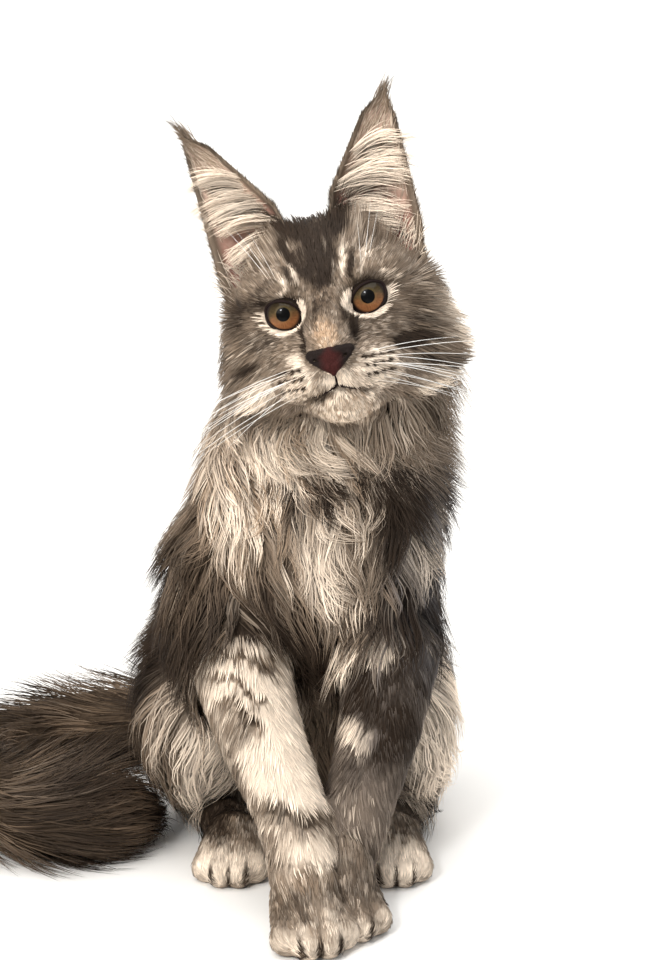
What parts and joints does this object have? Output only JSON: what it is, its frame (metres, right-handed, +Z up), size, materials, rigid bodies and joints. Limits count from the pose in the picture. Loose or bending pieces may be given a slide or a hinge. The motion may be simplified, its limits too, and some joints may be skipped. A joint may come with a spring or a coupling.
{
  "type": "seated maine coon cat",
  "caption": "Life-size still model of a seated long-haired tabby cat with tufted ears, a ruff and a bushy tail curled on the floor.",
  "frame": {"origin": "on the floor under the middle of the seated rump, the centre of the rump's flat", "axes": "+Z up, the cat faces -Y, +X is the cat's own left"},
  "size_m": [0.3291, 0.3195, 0.4278],
  "materials": {
    "head_coat": "short soft silver and brown tabby fur",
    "ruff_coat": "long soft pale grey ruff",
    "body_coat": "long silky silver tabby fur",
    "hind_coat": "long wavy cream and grey fur",
    "leg_coat": "short dense barred fur",
    "paw_coat": "short pale grey and cream fur",
    "tail_coat": "long dense dark brown and grey fur",
    "ear_skin": "thin pink skin under short pale fur",
    "eye": "wet amber iris with a round black pupil"
  },
  "bodies": {
    "root": {"head": "head_coat", "neck": "ruff_coat", "torso": "body_coat", "thigh_left": "hind_coat", "thigh_right": "hind_coat", "foreleg_left": "leg_coat", "foreleg_right": "leg_coat", "forepaw_left": "paw_coat", "forepaw_right": "paw_coat", "hind_foot_left": "paw_coat", "hind_foot_right": "paw_coat", "tail_root": "tail_coat", "tail_middle": "tail_coat", "tail_bend": "tail_coat", "tail_tip": "tail_coat", "ear_left": "ear_skin", "ear_right": "ear_skin", "eye_left": "eye", "eye_right": "eye"}
  },
  "joints": []
}
